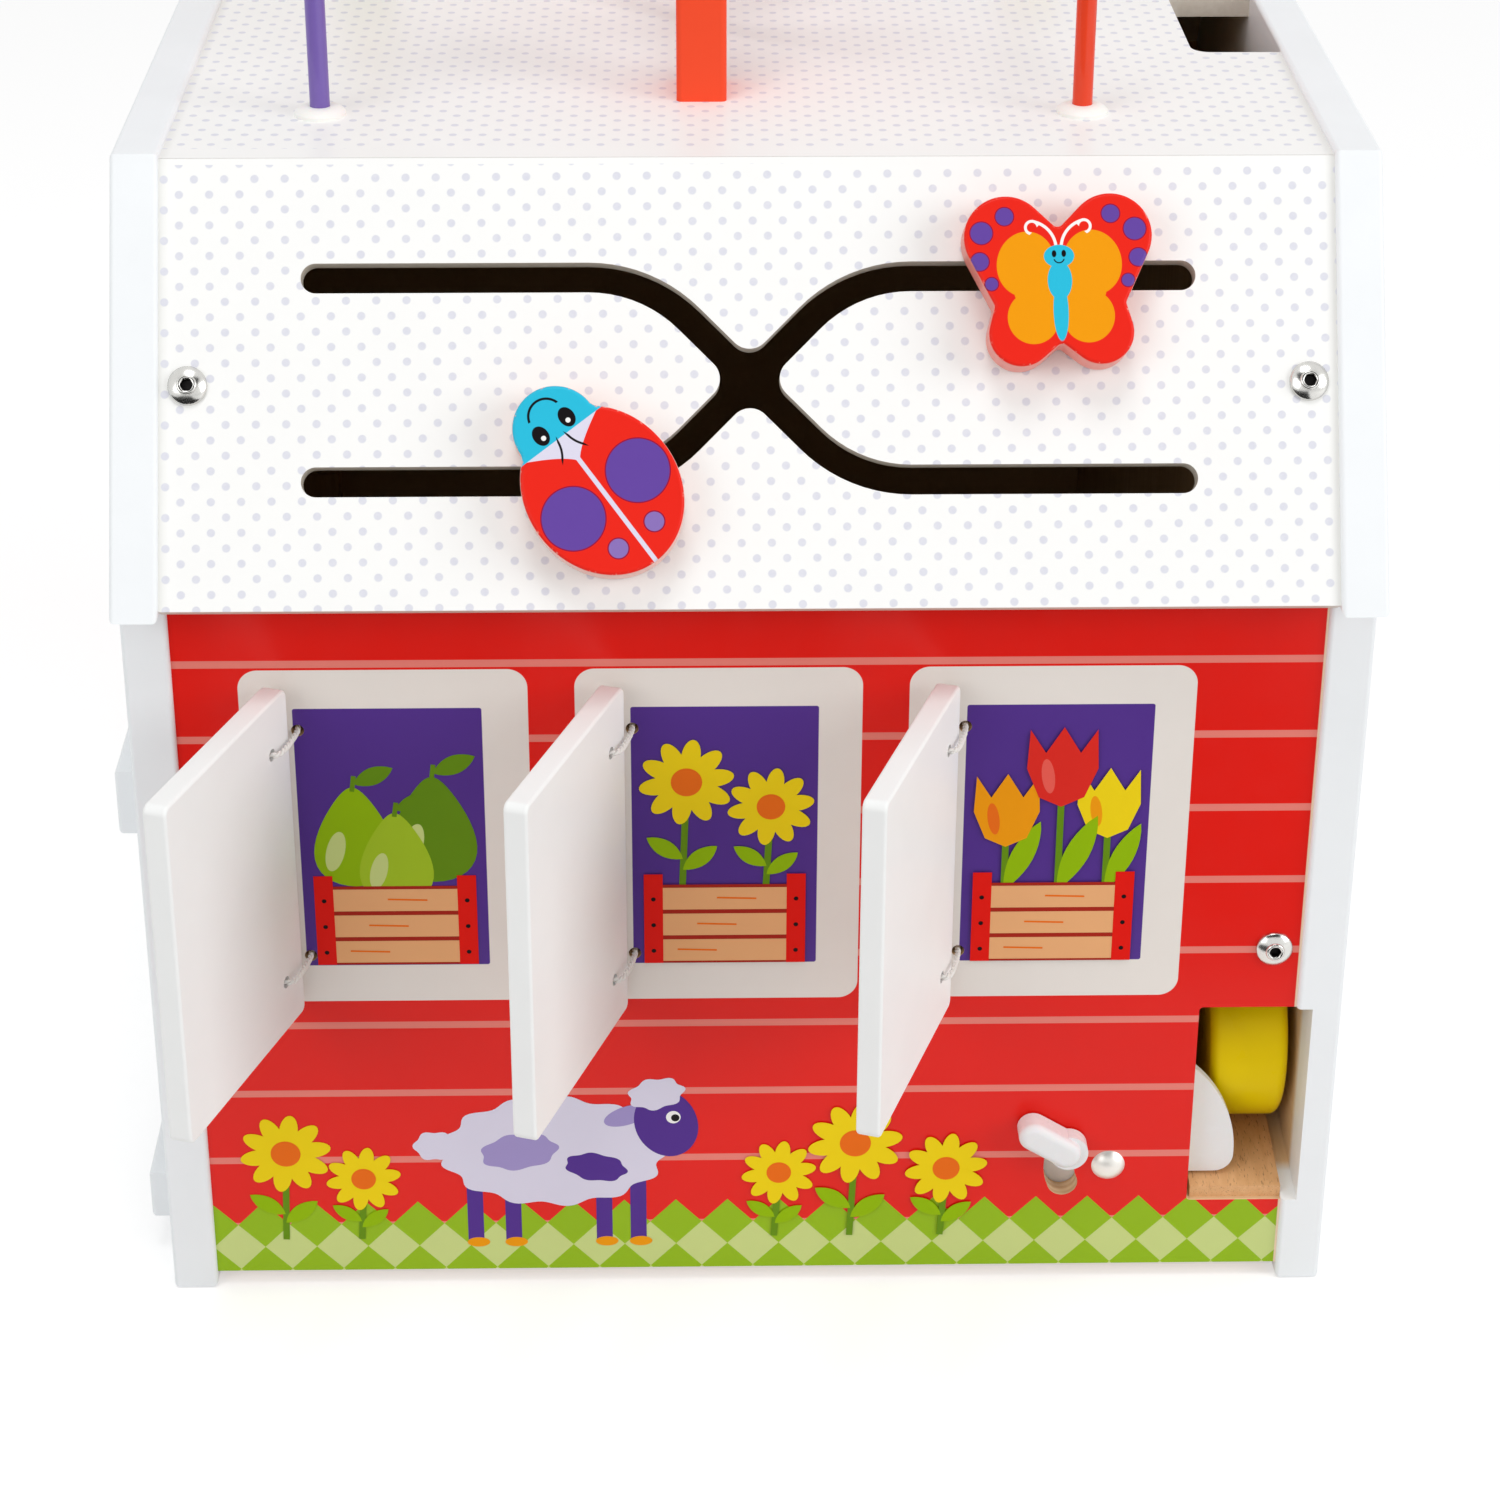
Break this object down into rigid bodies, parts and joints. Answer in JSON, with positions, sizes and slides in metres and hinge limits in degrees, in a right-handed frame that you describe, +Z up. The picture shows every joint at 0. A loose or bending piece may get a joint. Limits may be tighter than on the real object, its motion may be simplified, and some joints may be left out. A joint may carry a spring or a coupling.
{
  "type": "activity barn",
  "caption": "Toy barn with cord-hinged picture doors, a crossing slider track in its roof, a bead maze on top and a roller run with a lever gate.",
  "frame": {"origin": "middle of the underside, on the surface that the barn stands on", "axes": "+Z up, +X to the right as seen from the front, +Y to the back, so the doors face -Y"},
  "size_m": [0.3125, 0.3844, 0.4],
  "materials": {
    "white_board": "satin white paint on a wood board",
    "red_print": "satin printed plywood, red with pale plank lines",
    "dot_print": "satin printed plywood, near white with pale dots",
    "door_print": "satin warm white paint",
    "plain_ply": "bare sanded plywood",
    "natural_wood": "clear lacquered beech",
    "yellow_wood": "gloss yellow paint",
    "blue_wood": "gloss blue paint",
    "green_wood": "gloss green paint",
    "orange_wood": "satin orange red paint",
    "ladybug_print": "satin paint with printed spots",
    "butterfly_print": "satin paint with printed wings",
    "white_plastic": "smooth white moulding",
    "washer_plastic": "plain moulding",
    "collar_plastic": "smooth white moulding",
    "purple_wire": "gloss coated steel wire",
    "red_wire": "gloss coated steel wire",
    "bright_steel": "bright nickel plate",
    "white_cord": "twisted white cord"
  },
  "bodies": {
    "barn": {"left_side_panel": "white_board", "right_side_panel": "white_board", "front_wall": "red_print", "back_wall": "red_print", "front_roof_panel": "dot_print", "back_roof_panel": "dot_print", "top_panel": "dot_print", "floor_panel": "plain_ply", "wall_screws": "bright_steel", "roof_screws": "bright_steel", "arch_screws": "bright_steel", "gate_rivet": "bright_steel", "wall_cleats": "natural_wood", "roof_cleats": "natural_wood", "chute_partition": "plain_ply", "upper_ramp": "natural_wood", "middle_ramp": "natural_wood", "exit_ramp": "natural_wood", "left_door_cords": "white_cord", "middle_door_cords": "white_cord", "right_door_cords": "white_cord", "purple_wire": "purple_wire", "red_wire": "red_wire", "wire_collars": "collar_plastic", "arch": "orange_wood", "upper_rail": "white_board", "lower_rail": "white_board"},
    "gate": {"gate_lever": "white_plastic", "lever_knob": "white_plastic"},
    "roller": {"roller": "yellow_wood"},
    "left_door": {"left_door": "door_print"},
    "middle_door": {"middle_door": "door_print"},
    "right_door": {"right_door": "door_print"},
    "ladybug_carriage": {"ladybug_keeper": "washer_plastic"},
    "ladybug_figure": {"ladybug": "ladybug_print", "ladybug_stem": "natural_wood"},
    "butterfly_carriage": {"butterfly_keeper": "washer_plastic"},
    "butterfly_figure": {"butterfly": "butterfly_print", "butterfly_stem": "natural_wood"},
    "purple_lower_bead": {"purple_lower_bead": "yellow_wood"},
    "purple_upper_bead": {"purple_upper_bead": "blue_wood"},
    "red_lower_bead": {"red_lower_bead": "green_wood"},
    "red_upper_bead": {"red_upper_bead": "yellow_wood"},
    "side_door": {"side_door": "white_board"}
  },
  "joints": [
    {"name": "gate_swing", "type": "hinge", "parent": "barn", "child": "gate", "pos_m": [0.0947, -0.1432, 0.0353], "axis": [0, -1, 0], "range_deg": [0, 56]},
    {"name": "roller_run", "type": "slide", "parent": "barn", "child": "roller", "axis": [0, 0.9903, 0.1392], "range_m": [-0.0016, 0.06]},
    {"name": "left_door_swing", "type": "hinge", "parent": "barn", "child": "left_door", "pos_m": [-0.1185, -0.15703, 0.13295], "axis": [0, 0, 1], "range_deg": [-40, 108.9], "deforming": ["left_door_cords"]},
    {"name": "middle_door_swing", "type": "hinge", "parent": "barn", "child": "middle_door", "pos_m": [-0.0363, -0.15703, 0.13295], "axis": [0, 0, 1], "range_deg": [-40, 108.9], "deforming": ["middle_door_cords"]},
    {"name": "right_door_swing", "type": "hinge", "parent": "barn", "child": "right_door", "pos_m": [0.04591, -0.15703, 0.13295], "axis": [0, 0, 1], "range_deg": [-40, 108.9], "deforming": ["right_door_cords"]},
    {"name": "ladybug_slide", "type": "slide", "parent": "barn", "child": "ladybug_carriage", "axis": [1, 0, 0], "range_m": [-0.0648, 0]},
    {"name": "ladybug_turn", "type": "hinge", "parent": "ladybug_carriage", "child": "ladybug_figure", "pos_m": [-0.03773, -0.14882, 0.23004], "axis": [0, -0.8664, 0.4994], "continuous": true},
    {"name": "butterfly_slide", "type": "slide", "parent": "barn", "child": "butterfly_carriage", "axis": [1, 0, 0], "range_m": [-0.032, 0.03]},
    {"name": "butterfly_turn", "type": "hinge", "parent": "butterfly_carriage", "child": "butterfly_figure", "pos_m": [0.0733, -0.1244, 0.2724], "axis": [0, -0.8664, 0.4994], "continuous": true},
    {"name": "purple_lower_bead_slide", "type": "slide", "parent": "barn", "child": "purple_lower_bead", "axis": [0, 0, 1], "range_m": [0, 0.0193]},
    {"name": "purple_upper_bead_slide", "type": "slide", "parent": "purple_lower_bead", "child": "purple_upper_bead", "axis": [0, 0, 1], "range_m": [0, 0.0193]},
    {"name": "red_lower_bead_slide", "type": "slide", "parent": "barn", "child": "red_lower_bead", "axis": [0, 0, 1], "range_m": [0, 0.0123]},
    {"name": "red_upper_bead_slide", "type": "slide", "parent": "red_lower_bead", "child": "red_upper_bead", "axis": [0, 0, 1], "range_m": [0, 0.0123]},
    {"name": "side_door_slide", "type": "slide", "parent": "barn", "child": "side_door", "axis": [0, 1, 0], "range_m": [-0.123, 0]}
  ]
}
